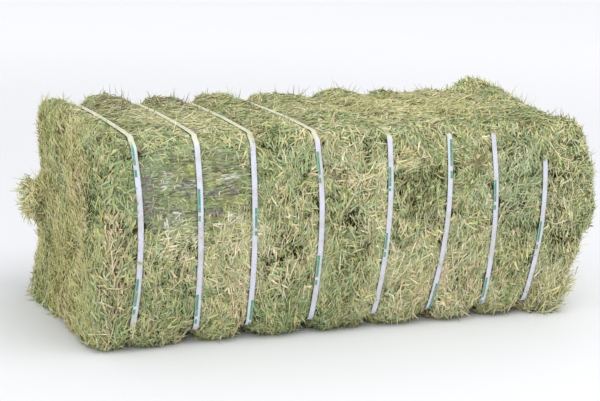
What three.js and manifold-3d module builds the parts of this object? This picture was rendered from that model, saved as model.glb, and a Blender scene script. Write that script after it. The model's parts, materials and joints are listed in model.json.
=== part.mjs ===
// A square hay bale: four flakes of pressed hay, held together by eight plastic straps.
// Millimetres. +X runs along the bale, -Y is its long front face, +Z is up, and it stands on z = 0.
import * as THREE from 'three';
import { mergeVertices } from 'three/addons/utils/BufferGeometryUtils.js';
import Module from 'manifold-3d';

const wasm = await Module();
wasm.setup();

// The hay, before the straps bite into it
const bale = {
  length: 1186,
  depth: 525, // front to back at the long edges
  height: 485, // floor to the crowns between the straps
  rimRadius: 34, // edge of each end face
  bellyLeft: 30, // the long faces swell by this much at half height, at the left end
  bellyRight: 28, // and by this much at the right end
  crown: 7, // the top swells by this much at its middle
  frontDroop: 14, // and its crowns fall by this much towards the front edge
  footDepth: 8, // the crowns would reach this far below the floor, so they rest flat on it
  footFill: 4, // the long edges under the two ends are fuller, as no strap pulls them in
  endSwell: 12, // the end faces dome out by this much
};

// The long edges in order around the section: which side of the middle each lies on, how round
// it is, and how much further a strap pulls it in than the faces beside it
const longEdges = [
  { y: 1, z: 1, radius: 60, pull: 12 },
  { y: -1, z: 1, radius: 30, pull: 1 },
  { y: -1, z: -1, radius: 52, pull: 22 },
  { y: 1, z: -1, radius: 60, pull: 14 },
];

// The eight straps, each a flat band around the whole section
const strap = {
  width: 12.7,
  thickness: 1,
  clearance: 0.3, // between the hay and the band
  places: [82, 224, 350, 498, 677, 829, 942, 1079], // from the left end
  footShift: [-2, 6, 2, -1, -24, -36, -3, -30], // along X, of the foot against the top
  bow: [18, 6, 4, 14, 6, 6, 11, 10], // along X, of the middle of the front against its ends
  backShift: [-6, -2, 3, 0, -1, 1, 4, 1], // along X, of the back against the front
};

// How deep a strap lies below the crowns beside it
const bite = {
  backTop: 19,
  frontTop: 5,
  foot: 30, // under the bale, most of it in the part that the floor flattens
  side: 7, // on the long faces
  landHalf: 9, // half of the width that is pressed flat
  reach: 46, // half of the width of the whole dip
  footReach: 20, // the same under the bale, where the hay's weight closes it
};

// Uneven places in the hay
const lump = { size: 3.5, length: 62, size2: 2, length2: 31 };
const overhang = { size: 44, zLow: 128, zHigh: 172 }; // the right end stands out above its foot
const heel = { front: -8, back: 20, height: 110 }; // the foot of each end stands out towards the back
const shoulder = { size: 46, zLow: 290, zHigh: 480, droop: 6 }; // and falls back again at its top
const wad = { size: 58, y: 208, z: 254, spread: 34 }; // a loose wad at the back of the left end
const heap = { size: 30, x: 575, y: 150, spread: 115 }; // loose hay on the top's back edge

// The flakes, front to back: where one ends and the next begins
const seams = { places: [-128, -4, 122], gap: 0.3, wave: 5, waveLength: 90, step: 102 };

const cornerSteps = 4; // facets on each long edge
const sideSteps = 4; // facets on each face between two edges
const slopeShares = [0.5, 0.9]; // of a dip's reach, where its sides are measured
const midHeight = bale.height / 2;
const halfLength = bale.length / 2;
const halfDepth = bale.depth / 2;

const { smoothstep: smooth, lerp, mapLinear } = THREE.MathUtils;
const strapPlaces = strap.places.map((place) => place - halfLength);

// A value that is known at each strap, at any place along the bale
function alongBale(values, s) {
  const next = strapPlaces.findIndex((place) => place > s);
  if (next === 0) return values[0];
  if (next < 0) return values[values.length - 1];
  const share = (s - strapPlaces[next - 1]) / (strapPlaces[next] - strapPlaces[next - 1]);
  return lerp(values[next - 1], values[next], share);
}

function nearestStrap(s) {
  return strapPlaces.reduce((best, place) => (Math.abs(place - s) < Math.abs(best - s) ? place : best));
}

// 1 on the pressed land under a strap, 0 on the crowns
function grip(s, spot) {
  const reach = spot.nz < 0 ? lerp(bite.reach, bite.footReach, -spot.nz) : bite.reach;
  return 1 - smooth(Math.abs(s - nearestStrap(s)), bite.landHalf, reach);
}

function lumps(s, y, z) {
  const broad = Math.sin(s / lump.length + Math.sin(z / lump.length)) * Math.cos(y / lump.length);
  const fine = Math.sin((s + y) / lump.length2) * Math.cos(z / lump.length2);
  return lump.size * broad + lump.size2 * fine;
}

// The section across the bale: a rounded rectangle, counterclockwise seen from +X
function sectionOutline() {
  const corners = longEdges.map(({ y, z, radius, pull }) => ({
    y: y * (halfDepth - radius),
    z: z > 0 ? bale.height - bale.crown - radius : radius - bale.footDepth,
    radius,
    pull,
  }));
  const outline = [];
  corners.forEach(({ y, z, radius, pull }, i) => {
    for (let step = 0; step <= cornerSteps; step += 1) {
      const angle = (i + step / cornerSteps) * (Math.PI / 2);
      const ny = Math.cos(angle);
      const nz = Math.sin(angle);
      outline.push({ y: y + ny * radius, z: z + nz * radius, ny, nz, pull });
    }
    const from = outline[outline.length - 1];
    const next = corners[(i + 1) % corners.length];
    for (let step = 1; step < sideSteps; step += 1) {
      const share = step / sideSteps;
      outline.push({
        ...from,
        y: lerp(from.y, next.y + from.ny * next.radius, share),
        z: lerp(from.z, next.z + from.nz * next.radius, share),
      });
    }
  });
  return outline;
}

// How far the hay is pressed in by the straps at a place on the section
function biteDepth(s, spot) {
  const top = mapLinear(spot.y, -halfDepth, halfDepth, bite.frontTop, bite.backTop);
  const upright = (spot.nz > 0 ? top : bite.foot) * Math.abs(spot.nz);
  const edge = spot.pull * 2 * Math.abs(spot.ny * spot.nz);
  return grip(s, spot) * (upright + bite.side * Math.abs(spot.ny) + edge);
}

// 0 as far as the outermost strap, rising to 1 at the end face
function towardsEnd(s) {
  const lastStrap = s > 0 ? strapPlaces[strapPlaces.length - 1] : -strapPlaces[0];
  return smooth(Math.abs(s), lastStrap + bite.landHalf, halfLength - bale.rimRadius);
}

// How much fuller the lower long edges are beyond the outermost straps
function footFill(s, spot) {
  return bale.footFill * towardsEnd(s) * 2 * Math.abs(spot.ny * Math.min(spot.nz, 0));
}

// A point of the hay's skin. The ring says where it is along the bale, how far its edge is
// rounded off (inset) and how far it is drawn in towards the middle of an end face (spread).
function hayPoint(ring, spot) {
  const pressed = Math.abs(ring.s - nearestStrap(ring.s)) <= bite.landHalf;
  const s = pressed ? nearestStrap(ring.s) : ring.s;
  const loose = lumps(s, spot.y, spot.z) * (1 - grip(s, spot)) + footFill(s, spot);
  const push = loose - biteDepth(s, spot) - ring.inset;
  let y = (spot.y + spot.ny * push) * ring.spread;
  let z = midHeight + (spot.z + spot.nz * push - midHeight) * ring.spread;
  const rise = (z - midHeight) / midHeight;
  const across = y / halfDepth;
  const belly = mapLinear(s, -halfLength, halfLength, bale.bellyLeft, bale.bellyRight);
  y += belly * across * (1 - rise * rise);
  z += bale.crown * Math.max(rise, 0) * (1 - across * across);
  z -= bale.frontDroop * Math.max(rise, 0) * (0.5 - across / 2);
  z += heapRise(s, y, spot) * Math.max(rise, 0);
  if (s > 0) z -= shoulder.droop * towardsEnd(s) * Math.max(rise, 0);
  z = Math.max(z, 0);
  return new THREE.Vector3(ring.s + skew(s, across, z / bale.height) + endShift(ring, y, z), y, z);
}

// How far the hay and its strap are dragged along X, across the bale and up it
function skew(s, across, up) {
  const foot = alongBale(strap.footShift, s) * (1 - up) ** 2;
  const bow = alongBale(strap.bow, s) * 4 * up * (1 - up);
  return foot + bow + alongBale(strap.backShift, s) * (0.5 + across / 2);
}

function heapRise(s, y, spot) {
  const away = Math.hypot(s - heap.x, y - heap.y) / heap.spread;
  return heap.size * Math.exp(-away * away) * (1 - grip(s, spot));
}

// How far the end faces stand out: their dome and foot, the overhang on the right and the wad on the left
function endShift(ring, y, z) {
  const dome = bale.endSwell * (1 - ring.spread * ring.spread) + lumps(y, z, ring.s) * (1 - ring.spread);
  const out = towardsEnd(ring.s);
  const spur = mapLinear(y, -halfDepth, halfDepth, heel.front, heel.back) * (1 - smooth(z, 0, heel.height));
  if (ring.s > 0) {
    const back = shoulder.size * smooth(z, shoulder.zLow, shoulder.zHigh);
    return dome + out * (spur + overhang.size * smooth(z, overhang.zLow, overhang.zHigh) - back);
  }
  const away = Math.hypot(y - wad.y, z - wad.z) / wad.spread;
  return -dome - out * (spur + wad.size * Math.exp(-away * away));
}

// The rings of points that carry the skin, from the left end to the right
function skinRings() {
  const rimTurns = [0.12, 0.45, 1]; // of the rim's radius, from the end face inwards
  const endSpreads = [0.3, 0.62, 0.86];
  const rim = (depth) => {
    const left = 1 - depth;
    return bale.rimRadius * (1 - Math.sqrt(1 - left * left));
  };
  const end = endSpreads.map((spread) => ({ s: -halfLength, inset: bale.rimRadius, spread }));
  end.push({ s: -halfLength, inset: bale.rimRadius, spread: 1 });
  rimTurns.forEach((turn) => {
    end.push({ s: -halfLength + turn * bale.rimRadius, inset: rim(turn), spread: 1 });
  });
  const mirrored = end.map((ring) => ({ ...ring, s: -ring.s })).reverse();
  return [...end, ...middleStations().map((s) => ({ s, inset: 0, spread: 1 })), ...mirrored];
}

// Where the skin is measured along the bale: both sides of each strap, and each crown
function middleStations() {
  const slopes = [bite.landHalf, ...slopeShares.map((share) => share * bite.reach)];
  const limit = halfLength - bale.rimRadius - bite.landHalf;
  const stations = [];
  strapPlaces.forEach((place, i) => {
    slopes.forEach((slope) => stations.push(place - slope, place + slope));
    if (i > 0) stations.push((place + strapPlaces[i - 1]) / 2);
  });
  return stations.filter((s) => Math.abs(s) < limit).sort((a, b) => a - b);
}

function makeGeometry(positions, index) {
  const geometry = new THREE.BufferGeometry();
  geometry.setAttribute('position', new THREE.Float32BufferAttribute(positions, 3));
  geometry.setIndex(index);
  return geometry;
}

// Two triangles between four points that follow each other around a facet
function quad(index, a, b, c, d) {
  index.push(a, b, d, b, c, d);
}

// The whole bale as one closed skin
function haySkin(outline) {
  const rings = skinRings();
  const positions = [];
  const index = [];
  const count = outline.length;
  rings.forEach((ring) => outline.forEach((spot) => positions.push(...hayPoint(ring, spot))));
  for (let ring = 0; ring + 1 < rings.length; ring += 1) {
    for (let i = 0; i < count; i += 1) {
      const j = (i + 1) % count;
      quad(index, ring * count + i, ring * count + j, (ring + 1) * count + j, (ring + 1) * count + i);
    }
  }
  const heart = { y: 0, z: midHeight, ny: 0, nz: 0, pull: 0 };
  const leftHeart = rings.length * count;
  positions.push(...hayPoint({ s: -halfLength, inset: 0, spread: 0 }, heart));
  positions.push(...hayPoint({ s: halfLength, inset: 0, spread: 0 }, heart));
  for (let i = 0; i < count; i += 1) {
    const j = (i + 1) % count;
    index.push(leftHeart, j, i);
    index.push(leftHeart + 1, (rings.length - 1) * count + i, (rings.length - 1) * count + j);
  }
  return makeGeometry(positions, index);
}

function toSolid(geometry) {
  const bare = geometry.clone();
  bare.deleteAttribute('normal');
  bare.deleteAttribute('uv');
  const merged = mergeVertices(bare);
  const mesh = new wasm.Mesh({
    numProp: 3,
    vertProperties: Float32Array.from(merged.attributes.position.array),
    triVerts: Uint32Array.from(merged.index.array),
  });
  return new wasm.Manifold(mesh);
}

function toGeometry(solid) {
  const mesh = solid.getMesh();
  return makeGeometry(Array.from(mesh.vertProperties), Array.from(mesh.triVerts));
}

// The gently wavy line, seen from above, where two flakes meet
function seamLine(place, phase) {
  const points = [];
  for (let x = -halfLength - seams.step; x <= halfLength + seams.step; x += seams.step) {
    points.push(new THREE.Vector2(x, place + seams.wave * Math.sin(x / seams.waveLength + phase)));
  }
  return points;
}

// The room between two seam lines, taller than the bale
function flakeRoom(front, back) {
  const outline = new THREE.Shape([...front, ...back.slice().reverse()]);
  const room = new THREE.ExtrudeGeometry(outline, { depth: bale.height * 2, bevelEnabled: false });
  return room.translate(0, 0, -bale.height / 2);
}

// The bale parted at its seams, front flake first
function flakeGeometries(skin) {
  const whole = toSolid(skin);
  const places = [-bale.depth, ...seams.places, bale.depth];
  return places.slice(1).map((place, i) => {
    const front = seamLine(places[i] + seams.gap / 2, i);
    const back = seamLine(place - seams.gap / 2, i + 1);
    return toGeometry(whole.intersect(toSolid(flakeRoom(front, back))));
  });
}

// The points of a closed outline in the YZ plane, moved outwards by a distance
function offsetOutline(points, distance) {
  const normal = (a, b) => new THREE.Vector2(b.z - a.z, a.y - b.y).normalize();
  return points.map((point, i) => {
    const before = normal(points[(i + points.length - 1) % points.length], point);
    const after = normal(point, points[(i + 1) % points.length]);
    const mitre = before.clone().add(after).multiplyScalar(distance / (1 + before.dot(after)));
    return new THREE.Vector3(point.x, point.y + mitre.x, point.z + mitre.y);
  });
}

// A flat band that lies on the pressed land around the bale
function strapGeometry(place, outline) {
  const path = outline.map((spot) => hayPoint({ s: place, inset: 0, spread: 1 }, spot));
  const inner = offsetOutline(path, strap.clearance);
  const outer = offsetOutline(path, strap.clearance + strap.thickness);
  const positions = [];
  const index = [];
  const corners = 4;
  inner.forEach((inside, i) => {
    const outside = outer[i];
    positions.push(inside.x - strap.width / 2, inside.y, inside.z);
    positions.push(outside.x - strap.width / 2, outside.y, outside.z);
    positions.push(outside.x + strap.width / 2, outside.y, outside.z);
    positions.push(inside.x + strap.width / 2, inside.y, inside.z);
    const next = (i + 1) % inner.length;
    for (let corner = 0; corner < corners; corner += 1) {
      const turn = (corner + 1) % corners;
      quad(index, i * corners + corner, next * corners + corner, next * corners + turn, i * corners + turn);
    }
  });
  return makeGeometry(positions, index);
}

function addPiece(group, name, geometry, material) {
  const mesh = new THREE.Mesh(geometry, material);
  mesh.name = name;
  group.add(mesh);
}

// The pieces, moved together so that the origin is under the middle of the bale
function buildBale() {
  const hay = new THREE.MeshStandardMaterial({ color: 0xa2a473, roughness: 0.9, metalness: 0 });
  const plastic = new THREE.MeshStandardMaterial({ color: 0xd8dae4, roughness: 0.45, metalness: 0 });
  const group = new THREE.Group();
  const outline = sectionOutline();
  flakeGeometries(haySkin(outline)).forEach((geometry, i) => addPiece(group, `flake_${i + 1}`, geometry, hay));
  strapPlaces.forEach((place, i) => {
    addPiece(group, `strap_${i + 1}`, strapGeometry(place, outline), plastic);
  });
  const middle = new THREE.Box3().setFromObject(group).getCenter(new THREE.Vector3());
  group.position.set(-middle.x, -middle.y, 0);
  return group;
}

export default buildBale();
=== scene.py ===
import json
import math

import bmesh
import bpy
import numpy as np
from mathutils import Matrix, Vector, noise
from mathutils.bvhtree import BVHTree

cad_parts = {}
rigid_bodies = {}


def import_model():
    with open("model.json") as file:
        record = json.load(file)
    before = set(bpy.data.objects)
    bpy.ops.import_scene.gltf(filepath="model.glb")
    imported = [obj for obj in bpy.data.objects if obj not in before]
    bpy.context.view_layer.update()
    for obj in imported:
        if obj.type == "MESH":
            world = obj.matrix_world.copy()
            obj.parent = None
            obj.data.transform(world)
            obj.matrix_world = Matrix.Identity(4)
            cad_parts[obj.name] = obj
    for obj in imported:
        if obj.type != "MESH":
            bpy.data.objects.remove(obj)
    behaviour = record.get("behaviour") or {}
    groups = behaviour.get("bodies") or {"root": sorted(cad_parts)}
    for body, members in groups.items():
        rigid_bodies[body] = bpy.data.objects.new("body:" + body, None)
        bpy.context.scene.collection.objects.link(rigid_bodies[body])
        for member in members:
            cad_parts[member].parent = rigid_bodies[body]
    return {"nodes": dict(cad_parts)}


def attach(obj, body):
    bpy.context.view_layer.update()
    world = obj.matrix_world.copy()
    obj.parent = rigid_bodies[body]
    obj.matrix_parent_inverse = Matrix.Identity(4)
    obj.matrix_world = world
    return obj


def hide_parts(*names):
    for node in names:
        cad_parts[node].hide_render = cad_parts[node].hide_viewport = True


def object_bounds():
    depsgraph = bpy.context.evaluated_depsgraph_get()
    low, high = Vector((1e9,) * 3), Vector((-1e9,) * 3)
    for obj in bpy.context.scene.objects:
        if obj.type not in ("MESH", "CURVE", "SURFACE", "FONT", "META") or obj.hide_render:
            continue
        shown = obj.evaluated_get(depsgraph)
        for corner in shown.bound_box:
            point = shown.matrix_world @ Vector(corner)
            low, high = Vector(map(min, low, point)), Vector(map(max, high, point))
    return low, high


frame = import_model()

cadLow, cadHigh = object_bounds()
scene = bpy.context.scene


# objects and meshes
def placed(name, data):     # a new object in the scene
    item = bpy.data.objects.new(name, data)
    scene.collection.objects.link(item)
    return item


def finished(carrier):      # its evaluated mesh, as a plain one, and the carrier gone
    graph = bpy.context.evaluated_depsgraph_get()
    mesh = bpy.data.meshes.new_from_object(carrier.evaluated_get(graph), depsgraph=graph)
    mesh.name = carrier.name
    bpy.data.objects.remove(carrier)
    return mesh


def meshOf(work, name):
    mesh = bpy.data.meshes.new(name)
    work.to_mesh(mesh)
    work.free()
    return mesh


def vertexValues(mesh, key):        # "co" or "normal", three to a row
    values = np.empty(len(mesh.vertices) * 3)
    mesh.vertices.foreach_get(key, values)
    return values.reshape(-1, 3)


def addPiece(name, mesh, replaced=()):
    piece = placed(name, mesh)
    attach(piece, "root")
    if replaced:
        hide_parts(*replaced)
    return piece


# camera
cameraLook = {
    "place": (-1.287, -2.991, 0.950),
    "turn": 22.99,      # degrees to the right of straight ahead
    "dip": 12.18,       # degrees below the horizon
    "roll": 2.06,       # degrees
    "lens": 82.8,       # millimetres
    "sensor": 36,
}


def makeCamera(look):
    turn, dip, roll = (math.radians(look[key]) for key in ("turn", "dip", "roll"))
    ahead = Vector((math.sin(turn) * math.cos(dip), math.cos(turn) * math.cos(dip), -math.sin(dip)))
    level = Vector((math.cos(turn), -math.sin(turn), 0))
    above = level.cross(ahead)
    right = math.cos(roll) * level + math.sin(roll) * above
    up = -math.sin(roll) * level + math.cos(roll) * above
    camera = placed("camera", bpy.data.cameras.new("camera"))
    facing = Matrix((right, up, -ahead)).transposed().to_4x4()
    camera.matrix_world = Matrix.Translation(look["place"]) @ facing
    camera.data.lens = look["lens"]
    camera.data.sensor_width = look["sensor"]
    scene.camera = camera


makeCamera(cameraLook)
print("camera placed")


# nodes
def srgb(red, green, blue):     # 0 to 255, as a painter's colour picker shows it
    channels = [value / 255 for value in (red, green, blue)]
    return tuple(c / 12.92 if c <= 0.04045 else ((c + 0.055) / 1.055) ** 2.4 for c in channels) + (1,)


def addNode(tree, kind, inputs=None, **settings):
    node = tree.nodes.new(kind)
    for key, value in settings.items():
        setattr(node, key, value)
    for key, value in (inputs or {}).items():
        plug(tree, node.inputs[key], value)
    return node


def plug(tree, socket, value):
    if isinstance(value, bpy.types.NodeSocket):
        tree.links.new(value, socket)
    else:
        socket.default_value = value


def mathNode(tree, operation, *values):
    return addNode(tree, "ShaderNodeMath", dict(enumerate(values)), operation=operation).outputs[0]


def times(tree, first, second):
    return mathNode(tree, "MULTIPLY", first, second)


def plus(tree, first, second):
    return mathNode(tree, "ADD", first, second)


def minus(tree, first, second):
    return mathNode(tree, "SUBTRACT", first, second)


def vectorNode(tree, operation, *values):
    node = addNode(tree, "ShaderNodeVectorMath", dict(enumerate(values)), operation=operation)
    return node.outputs["Value" if operation in ("DOT_PRODUCT", "LENGTH") else "Vector"]


def scaled(tree, vector, factor):
    inputs = {"Vector": vector, "Scale": factor}
    return addNode(tree, "ShaderNodeVectorMath", inputs, operation="SCALE").outputs["Vector"]


def axesOf(tree, vector):
    return addNode(tree, "ShaderNodeSeparateXYZ", {"Vector": vector}).outputs


def eased(tree, value, low, high, out=(0, 1)):      # a smooth step from low to high
    inputs = {"Value": value, "From Min": low, "From Max": high, "To Min": out[0], "To Max": out[1]}
    return addNode(tree, "ShaderNodeMapRange", inputs, interpolation_type="SMOOTHSTEP").outputs["Result"]


def mixed(tree, share, first, second):
    return addNode(tree, "ShaderNodeMix", {0: share, 2: first, 3: second}).outputs[0]


def mixedColour(tree, share, first, second):
    inputs = {0: share, 6: first, 7: second}
    return addNode(tree, "ShaderNodeMix", inputs, data_type="RGBA").outputs[2]


def noiseNode(tree, vector, scale, detail=2.0, roughness=0.5):
    inputs = {"Vector": vector, "Scale": scale, "Detail": detail, "Roughness": roughness}
    return addNode(tree, "ShaderNodeTexNoise", inputs).outputs[0]


def objectPlace(tree):
    return addNode(tree, "ShaderNodeTexCoord").outputs["Object"]


def uvPlace(tree, name):
    return addNode(tree, "ShaderNodeUVMap", uv_map=name).outputs["UV"]


# the hues that dry hay runs through, and where each sits from 0 to 1
hayHues = [
    (0.00, (156, 155, 164)), (0.06, (120, 111, 92)), (0.11, (150, 124, 90)), (0.16, (98, 110, 66)),
    (0.25, (128, 144, 94)), (0.35, (150, 166, 122)), (0.45, (166, 178, 147)), (0.54, (173, 180, 116)),
    (0.62, (185, 181, 128)), (0.73, (202, 184, 152)), (0.84, (214, 208, 172)), (0.95, (218, 219, 222)),
]
# painted shade: a low Shade darkens a hue towards a saturated olive that stands in for deep shade between
# stems; Shade also holds each stem's own lightness
shadeTints = [(0.13, 0.125, 0.065), (1.42, 1.42, 1.41)]      # what shade 0 and shade 1 multiply a hue by
brightest = 0.9


def colourGroup(name, inputs, outputs):
    group = bpy.data.node_groups.new(name, "ShaderNodeTree")
    for way, sockets in (("INPUT", inputs), ("OUTPUT", outputs)):
        for socketName, kind in sockets.items():
            group.interface.new_socket(socketName, in_out=way, socket_type=f"NodeSocket{kind}")
    return group, addNode(group, "NodeGroupInput").outputs


def hayColourGroup():       # Tone picks the hue, Shade darkens or lightens it
    group, given = colourGroup("hayColour", {"Tone": "Float", "Shade": "Float"}, {"Colour": "Color"})
    ramp = addNode(group, "ShaderNodeValToRGB", {"Fac": given["Tone"]})
    steps = ramp.color_ramp.elements
    while len(steps) < len(hayHues):
        steps.new(0.5)
    for step, (place, colour) in zip(steps, hayHues):
        step.position = place
        step.color = srgb(*colour)
    inputs = {0: given["Shade"], 4: shadeTints[0], 5: shadeTints[1]}
    gain = addNode(group, "ShaderNodeMix", inputs, data_type="VECTOR").outputs[1]
    lit = vectorNode(group, "MULTIPLY", ramp.outputs["Color"], gain)
    capped = vectorNode(group, "MINIMUM", lit, (brightest,) * 3)
    addNode(group, "NodeGroupOutput", {"Colour": capped})
    return group


def dustGroup():        # hay dust that settles in patches
    inputs = {"Colour": "Color", "Amount": "Float", "Scale": "Float"}
    group, given = colourGroup("hayDust", inputs, {"Colour": "Color", "Mask": "Float"})
    patches = eased(group, noiseNode(group, objectPlace(group), given["Scale"], 4.0, 0.65), 0.42, 0.7)
    mask = times(group, patches, given["Amount"])
    dusted = mixedColour(group, mask, given["Colour"], srgb(168, 160, 116))
    addNode(group, "NodeGroupOutput", {"Colour": dusted, "Mask": mask})
    return group


def newMaterial(name, constants):
    material = bpy.data.materials.new(name)
    material.use_nodes = True
    shader = material.node_tree.nodes["Principled BSDF"]
    for key, value in constants.items():
        shader.inputs[key].default_value = value
    return material, material.node_tree, shader


def useGroup(tree, group, inputs):
    node = addNode(tree, "ShaderNodeGroup", node_tree=group)
    for key, value in inputs.items():
        plug(tree, node.inputs[key], value)
    return node.outputs


def stemMaterial(hayColour):        # a stem's hue and shade are its place on the palette map
    material, tree, shader = newMaterial("hayStem", {"Roughness": 0.72, "Specular IOR Level": 0.15})
    spot = axesOf(tree, uvPlace(tree, "OFBake"))
    colour = useGroup(tree, hayColour, {"Tone": spot["X"], "Shade": spot["Y"]})
    plug(tree, shader.inputs["Base Color"], colour["Colour"])
    return material


# the imported hay behind the stems is streaked along each face's own lie, and painted darker than the stems
# as painted shade between them
packedLook = {
    "streaks": {"X": (260, 330, 60), "Y": (230, 200, 150), "Z": (60, 330, 260)},        # a metre, by facing
    "smears": (38, 120, 250),       # the same, where the hay is pressed flat
    "patches": 7.0,                 # of one hue, a metre
    "usualShades": (0.16, 0.50),    # of the deepest and the highest streak: painted shade, darker in the deeper streaks
    "pressedShades": (0.24, 0.56),
    "bump": 0.004,
}


def matMaterial(hayColour, look):
    material, tree, shader = newMaterial("packedHay", {"Roughness": 0.85, "Specular IOR Level": 0.1})
    place = objectPlace(tree)
    facing = axesOf(tree, addNode(tree, "ShaderNodeNewGeometry").outputs["Normal"])
    streaks = 0.0
    for axis, density in look["streaks"].items():
        weight = mathNode(tree, "POWER", facing[axis], 2.0)
        wave = noiseNode(tree, vectorNode(tree, "MULTIPLY", place, density), 1.0, 3.0, 0.65)
        streaks = plus(tree, streaks, times(tree, weight, wave))
    pressed, pit, ownTone, ownForce = (
        addNode(tree, "ShaderNodeAttribute", attribute_name=name).outputs["Fac"]
        for name in ("pressed", "pitted", "patchTone", "patchForce"))
    smeared = noiseNode(tree, vectorNode(tree, "MULTIPLY", place, look["smears"]), 1.0, 3.0, 0.6)
    streaks = mixed(tree, pressed, streaks, smeared)
    patches = noiseNode(tree, place, look["patches"], 3.0)
    usual = plus(tree, times(tree, streaks, 0.9), times(tree, patches, 0.25))
    tone = mixed(tree, eased(tree, ownForce, 0.12, 0.4), usual, ownTone)
    low, high = (eased(tree, pressed, 0.2, 0.8, shades)
                 for shades in zip(look["usualShades"], look["pressedShades"]))
    # painted shadow: the mat is painted near black in the pits between wads of hay
    pitShadowGain = eased(tree, pit, 0.0, 0.8, (1.0, 0.0))
    shade = times(tree, eased(tree, streaks, 0.3, 0.72, (low, high)), pitShadowGain)
    colour = useGroup(tree, hayColour, {"Tone": tone, "Shade": shade})
    bump = addNode(tree, "ShaderNodeBump", {"Height": streaks, "Strength": 0.8, "Distance": look["bump"]})
    plug(tree, shader.inputs["Base Color"], colour["Colour"])
    plug(tree, shader.inputs["Normal"], bump.outputs["Normal"])
    return material


# white strapping with pairs of plain green bars; the strapRun map goes up by one from pair to pair
strapPrint = {
    "bars": ((0.36, 0.58), (0.61, 0.66)),       # a long bar, then a short one
    "barEnd": 0.004,            # how soon a bar fades out at its ends
    "barMiddle": 0.30,          # across the strap
    "barSides": (0.21, 0.24),   # where it starts and stops fading, from its middle
    "white": ((196, 199, 214), (213, 214, 228)),
    "green": (62, 146, 118),
    "overTop": (204, 203, 166),     # the run over the top is dustier
    "topHeights": (0.436, 0.456),
    "topShare": 0.8,
}


def strapMaterial(dust, look):
    material, tree, shader = newMaterial("strapPlastic", {"Roughness": 0.42})
    run = uvPlace(tree, "strapRun")
    across = axesOf(tree, run)
    place = objectPlace(tree)
    turn = mathNode(tree, "FRACT", across["X"])
    bars = 0.0
    for start, end in look["bars"]:
        after = eased(tree, turn, start, start + look["barEnd"])
        before = eased(tree, turn, end, end + look["barEnd"], (1, 0))
        bars = plus(tree, bars, times(tree, after, before))
    fromMiddle = mathNode(tree, "ABSOLUTE", minus(tree, across["Y"], look["barMiddle"]))
    inside = eased(tree, fromMiddle, *look["barSides"], (1, 0))
    worn = eased(tree, noiseNode(tree, place, 120.0, 2.0, 0.6), 0.25, 0.5, (0.55, 1.0))
    ink = times(tree, times(tree, bars, inside), worn)
    plain = mixedColour(tree, noiseNode(tree, place, 55.0, 2.0), *(srgb(*white) for white in look["white"]))
    marked = mixedColour(tree, ink, plain, srgb(*look["green"]))
    upper = eased(tree, axesOf(tree, place)["Z"], *look["topHeights"])
    faded = mixedColour(tree, times(tree, upper, look["topShare"]), marked, srgb(*look["overTop"]))
    dusty = useGroup(tree, dust, {"Colour": faded, "Amount": 0.4, "Scale": 30.0})
    weave = addNode(tree, "ShaderNodeTexWave", {"Vector": run, "Scale": 90.0}, bands_direction="DIAGONAL")
    relief = {"Height": weave.outputs["Fac"], "Strength": 0.25, "Distance": 0.0004}
    plug(tree, shader.inputs["Base Color"], dusty["Colour"])
    plug(tree, shader.inputs["Roughness"], eased(tree, dusty["Mask"], 0.0, 0.4, (0.4, 0.75)))
    plug(tree, shader.inputs["Normal"], addNode(tree, "ShaderNodeBump", relief).outputs["Normal"])
    return material


hayColour = hayColourGroup()
stemFinish = stemMaterial(hayColour)
matFinish = matMaterial(hayColour, packedLook)
strapFinish = strapMaterial(dustGroup(), strapPrint)
print("materials ready")


# where the straps run
flakeNames = sorted(name for name in frame["nodes"] if name.startswith("flake_"))
strapNames = sorted(name for name in frame["nodes"] if name.startswith("strap_"))
strapWidth = 0.0127


def nodePoints(name):
    return np.unique(vertexValues(frame["nodes"][name].data, "co").round(6), axis=0)


def acrossBaleTerms(points):
    y, z = points[:, 1], points[:, 2]
    return np.c_[np.ones(len(points)), y, z, z * z]


def strapPlane(name):       # x = a + b y + c z + d z z, the gently curved sheet that a strap lies in
    points = nodePoints(name)
    return np.linalg.lstsq(acrossBaleTerms(points), points[:, 0], rcond=None)[0]


strapPlanes = [strapPlane(name) for name in strapNames]


def strapDistances(points):     # to the edge of the nearest strap, along X, and which strap it is
    across = acrossBaleTerms(points)
    gaps = np.abs(np.stack([points[:, 0] - across @ plane for plane in strapPlanes]))
    return gaps.min(axis=0) - strapWidth / 2, gaps.argmin(axis=0)


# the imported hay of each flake
matLook = {
    "grain": 0.0065,        # size of a facet
    "smoothings": 8,
    "relief": 0.007,        # height of the ridges
    "ridges": ((70, 80, 20), (75, 70, 45), (20, 85, 70)),       # a metre, on faces along X, Y and Z
    "swells": 28.0,         # and of the broader rises
    "pitDepth": 0.016,      # of the gaps between wads of hay
    "calmNear": 0.03,       # the ridges fade out this close to a strap
    "sunk": 0.0035,         # the whole mat lies this far inside the flake
    "bulge": 0.0035,        # hay stands up this much beside a strap
    "overStrap": 0.009,     # and this much where it closes over one
    "aboveFloor": 0.0015,
}
front, back, top, foot = (0, -1, 0), (0, 1, 0), (0, 0, 1), (0, 0, -1)
leftEnd, rightEnd = (-1, 0, 0), (1, 0, 0)
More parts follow.
